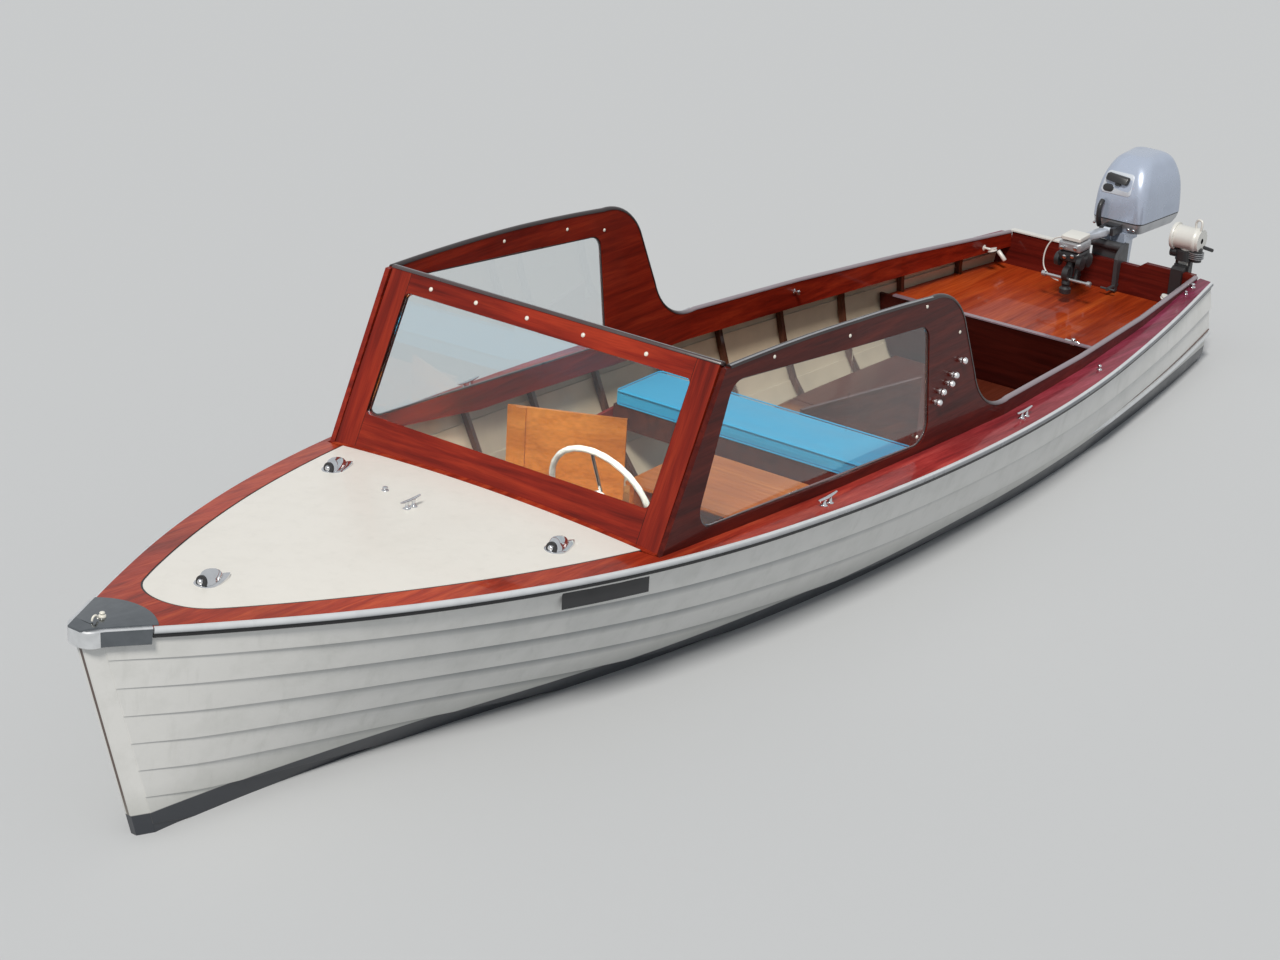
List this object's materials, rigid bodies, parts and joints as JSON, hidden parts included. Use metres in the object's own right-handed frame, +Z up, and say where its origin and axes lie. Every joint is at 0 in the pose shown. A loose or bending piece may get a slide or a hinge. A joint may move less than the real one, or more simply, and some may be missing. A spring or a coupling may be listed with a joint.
{
  "type": "speedboat",
  "caption": "Open lapstrake runabout, white-painted hull with varnished mahogany deck edge, raked windscreen, side windows, blue bench and a tilting outboard motor.",
  "frame": {"origin": "on the centre line at mid-length of the hull, at the waterline", "axes": "+X forward to the bow, +Y to port, +Z up"},
  "size_m": [6.453, 1.672, 1.5167],
  "materials": {
    "hull_paint": "white gloss paint on planks, dark grey below the paint line, cream inside",
    "mahogany": "gloss varnish over red-brown mahogany",
    "mahogany_trim": "gloss varnished mahogany",
    "screen_wood": "gloss red-brown varnished mahogany",
    "frame_wood": "dark brown varnished ribs",
    "rail_grey": "light grey half-round rail",
    "deck_paint": "cream-white painted panel, satin",
    "keel_paint": "dark bottom paint",
    "plywood": "orange varnished plywood",
    "floor_wood": "varnished floor panels",
    "maroon_wood": "dark maroon varnished board",
    "cushion_blue": "light blue cover",
    "clear_glass": "clear pane",
    "chrome": "polished chrome",
    "cap_metal": "dull metal strip",
    "wheel_ivory": "ivory rim on bright spokes",
    "motor_grey": "silver-grey painted aluminium",
    "motor_dark": "black painted metal",
    "propeller_metal": "bare cast aluminium"
  },
  "bodies": {
    "hull": {"planking_port": "hull_paint", "planking_starboard": "hull_paint", "rub_rail_port": "rail_grey", "rub_rail_starboard": "rail_grey", "covering_board_port": "mahogany_trim", "covering_board_starboard": "mahogany_trim", "side_board_port": "screen_wood", "side_board_starboard": "screen_wood", "side_glass_port": "clear_glass", "side_glass_starboard": "clear_glass", "foredeck_panel": "deck_paint", "stem": "hull_paint", "keel": "keel_paint", "transom": "mahogany", "frames": "frame_wood", "windscreen_frame": "screen_wood", "windscreen_glass": "clear_glass", "windscreen_cap": "cap_metal", "bow_cap": "chrome", "floorboards": "floor_wood", "bench": "plywood", "bench_cushion": "cushion_blue", "aft_deck": "plywood", "aft_bulkhead": "maroon_wood", "dash_board": "mahogany_trim", "steering_column": "motor_dark", "deck_drops": "chrome", "cleats": "chrome", "clamp_bracket": "motor_grey", "seat_risers": "mahogany_trim", "aux_clamp": "motor_dark", "driver_seat": "plywood", "passenger_board": "plywood", "locker_board": "maroon_wood", "bow_bands": "chrome"},
    "swivel": {"swivel_bracket": "motor_grey"},
    "motor": {"motor_leg": "motor_grey", "motor_pan": "motor_grey", "motor_cowl": "motor_grey", "steering_bracket": "motor_dark"},
    "tiller": {"tiller_arm": "motor_dark"},
    "propeller": {"motor_propeller": "propeller_metal"},
    "wheel": {"steering_wheel": "wheel_ivory"},
    "aux_outboard": {"aux_motor": "motor_dark"},
    "aux_screw": {"aux_propeller": "motor_dark"}
  },
  "joints": [
    {"name": "motor_tilt", "type": "hinge", "parent": "hull", "child": "swivel", "pos_m": [-3.006, 0, 0.408], "axis": [0, 1, 0], "range_deg": [0, 60]},
    {"name": "steering_wheel_turn", "type": "hinge", "parent": "hull", "child": "wheel", "pos_m": [1.06, 0.273, 0.545], "axis": [0.9455, 0, -0.3256], "range_deg": [-360, 360]},
    {"name": "motor_steer", "type": "hinge", "parent": "swivel", "child": "motor", "pos_m": [-3.078, 0, 0.3], "axis": [0, 0, 1], "range_deg": [-35, 35]},
    {"name": "tiller_level", "type": "hinge", "parent": "motor", "child": "tiller", "pos_m": [-3.004, 0, 0.47], "axis": [0, 1, 0], "range_deg": [-60, 0]},
    {"name": "propeller_spin", "type": "hinge", "parent": "motor", "child": "propeller", "pos_m": [-3.248, 0, -0.3], "axis": [1, 0, 0], "continuous": true},
    {"name": "aux_tilt", "type": "hinge", "parent": "hull", "child": "aux_outboard", "pos_m": [-3.024, 0.368, 0.404], "axis": [0, 1, 0], "range_deg": [0, 60]},
    {"name": "aux_screw_spin", "type": "hinge", "parent": "aux_outboard", "child": "aux_screw", "pos_m": [-3.141, 0.368, -0.19], "axis": [1, 0, 0], "continuous": true}
  ],
  "couplings": [
    {"joint": "motor_steer", "follows": "steering_wheel_turn", "ratio": 0.097222},
    {"joint": "tiller_level", "follows": "motor_tilt", "ratio": -1}
  ]
}
